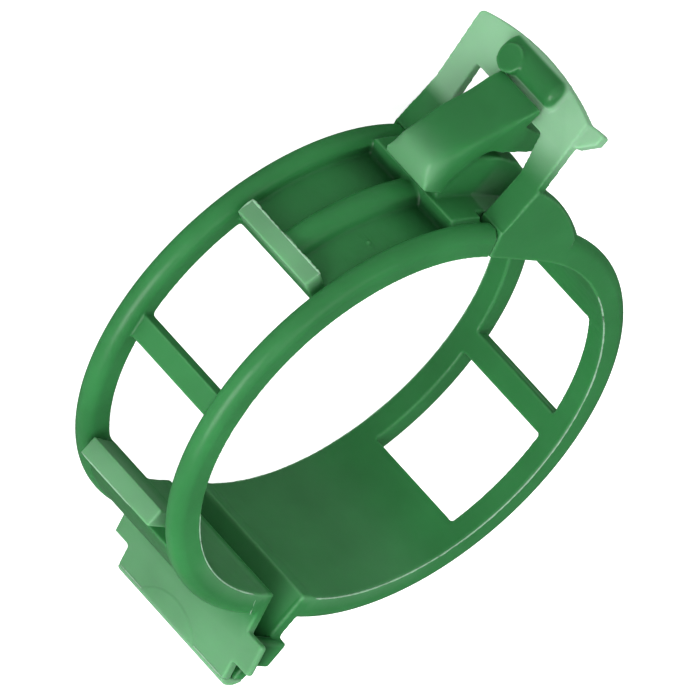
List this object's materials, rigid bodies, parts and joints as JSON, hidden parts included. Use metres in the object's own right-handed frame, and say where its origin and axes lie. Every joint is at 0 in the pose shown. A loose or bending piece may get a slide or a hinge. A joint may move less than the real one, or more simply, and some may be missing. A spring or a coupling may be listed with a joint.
{
  "type": "orchid clip",
  "caption": "Green plastic ring clip in two hinged halves with windows between twin rims, twine jaws at the hinge and a hook and springy loop latch.",
  "frame": {"origin": "on the bore axis of the catch half, at mid width", "axes": "+Z along the bore axis towards the near rims, +Y towards the latch, +X towards the latch half"},
  "size_m": [0.0318, 0.0408, 0.013],
  "materials": {
    "green_plastic": "satin, slightly see-through green polypropylene",
    "thin_green_plastic": "the same polypropylene where it is thin and lets light through"
  },
  "bodies": {
    "catch_half": {"catch_rim_near": "green_plastic", "catch_rim_far": "green_plastic", "catch_rung": "green_plastic", "catch_upper_panel": "green_plastic", "catch_rib": "green_plastic", "catch_upper_bar": "green_plastic", "catch_lower_bar": "green_plastic", "catch_lower_panel": "green_plastic", "catch_end_plate": "green_plastic", "catch_jaw": "green_plastic", "catch_ear_near": "green_plastic", "catch_ear_far": "green_plastic", "hook_neck": "green_plastic", "hook_head": "green_plastic"},
    "latch_half": {"latch_rim_near": "green_plastic", "latch_rim_far": "green_plastic", "latch_rung": "green_plastic", "latch_upper_panel": "green_plastic", "latch_rib": "green_plastic", "latch_lower_panel": "green_plastic", "latch_jaw": "green_plastic", "latch_lug_near": "green_plastic", "latch_lug_far": "green_plastic", "latch_lobe_near": "green_plastic", "latch_lobe_far": "green_plastic", "hinge_web": "thin_green_plastic"},
    "latch_loop": {"loop_leg_near": "thin_green_plastic", "loop_leg_far": "thin_green_plastic", "loop_bar": "thin_green_plastic", "loop_bead": "thin_green_plastic", "loop_nub": "thin_green_plastic"}
  },
  "joints": [
    {"name": "clip_hinge", "type": "hinge", "parent": "catch_half", "child": "latch_half", "pos_m": [0.00217, -0.0183, 0], "axis": [0, 0, -1], "range_deg": [0, 110], "stiffness_Nm_per_rad": 0.002, "deforming": ["hinge_web"]},
    {"name": "loop_flex", "type": "hinge", "parent": "latch_half", "child": "latch_loop", "pos_m": [0.00064, 0.01667, 0], "axis": [0, 0, -1], "range_deg": [0, 20], "stiffness_Nm_per_rad": 0.02}
  ]
}
